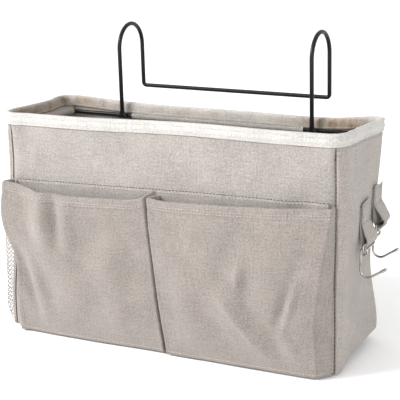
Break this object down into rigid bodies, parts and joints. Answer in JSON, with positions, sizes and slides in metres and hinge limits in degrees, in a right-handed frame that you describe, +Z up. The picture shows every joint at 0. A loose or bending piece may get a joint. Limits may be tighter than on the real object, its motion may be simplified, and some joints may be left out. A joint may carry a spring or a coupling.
{
  "type": "hanging canvas caddy",
  "caption": "Canvas storage caddy with a wire hanger that hooks over a rail, bellows front pockets, a mesh side pocket and swinging side hooks.",
  "frame": {"origin": "on the underside of the base, under the middle of the rim", "axes": "+Z up, +Y to the back where the hanger's hooks are, +X to the side that carries the small hooks"},
  "size_m": [0.4015, 0.1808, 0.2999],
  "materials": {
    "canvas": "plain-weave canvas, pale warm grey",
    "pocket_canvas": "plain-weave canvas, a shade darker",
    "lining": "thin woven lining tape",
    "binding_tape": "cream cotton tape, finely ribbed",
    "mesh_net": "open knitted polyester net",
    "board": "cloth-covered fibreboard",
    "black_wire": "satin black powder coat",
    "nickel_wire": "nickel-plated steel wire"
  },
  "bodies": {
    "caddy": {"right_side_panel": "canvas", "back_panel": "canvas", "left_side_panel": "canvas", "front_panel": "canvas", "base_panel": "canvas", "base_board": "board", "rim_binding": "binding_tape", "rim_hoop": "black_wire", "front_casing": "lining", "rear_casing": "lining", "right_rear_seam_tape": "lining", "left_rear_seam_tape": "lining", "left_front_seam_tape": "lining", "right_front_seam_tape": "lining", "wire_hanger": "black_wire", "left_pocket": "pocket_canvas", "right_pocket": "pocket_canvas", "mesh_pocket": "mesh_net", "mesh_pocket_hem": "binding_tape", "front_side_loop": "canvas", "rear_side_loop": "canvas"},
    "front_link": {"front_link": "nickel_wire"},
    "front_hook": {"front_hook": "nickel_wire"},
    "rear_link": {"rear_link": "nickel_wire"},
    "rear_hook": {"rear_hook": "nickel_wire"}
  },
  "joints": [
    {"name": "front_link_swing", "type": "hinge", "parent": "caddy", "child": "front_link", "pos_m": [0.18358, 0, 0.1149], "axis": [0, -1, 0], "range_deg": [-3, 45]},
    {"name": "front_hook_swing", "type": "hinge", "parent": "front_link", "child": "front_hook", "pos_m": [0.18358, -0.0153, 0.1082], "axis": [0, -1, 0], "range_deg": [0, 80]},
    {"name": "rear_link_swing", "type": "hinge", "parent": "caddy", "child": "rear_link", "pos_m": [0.18366, 0.036, 0.1239], "axis": [0, -1, 0], "range_deg": [-3, 45]},
    {"name": "rear_hook_swing", "type": "hinge", "parent": "rear_link", "child": "rear_hook", "pos_m": [0.18366, 0.0207, 0.1172], "axis": [0, -1, 0], "range_deg": [0, 80]}
  ]
}
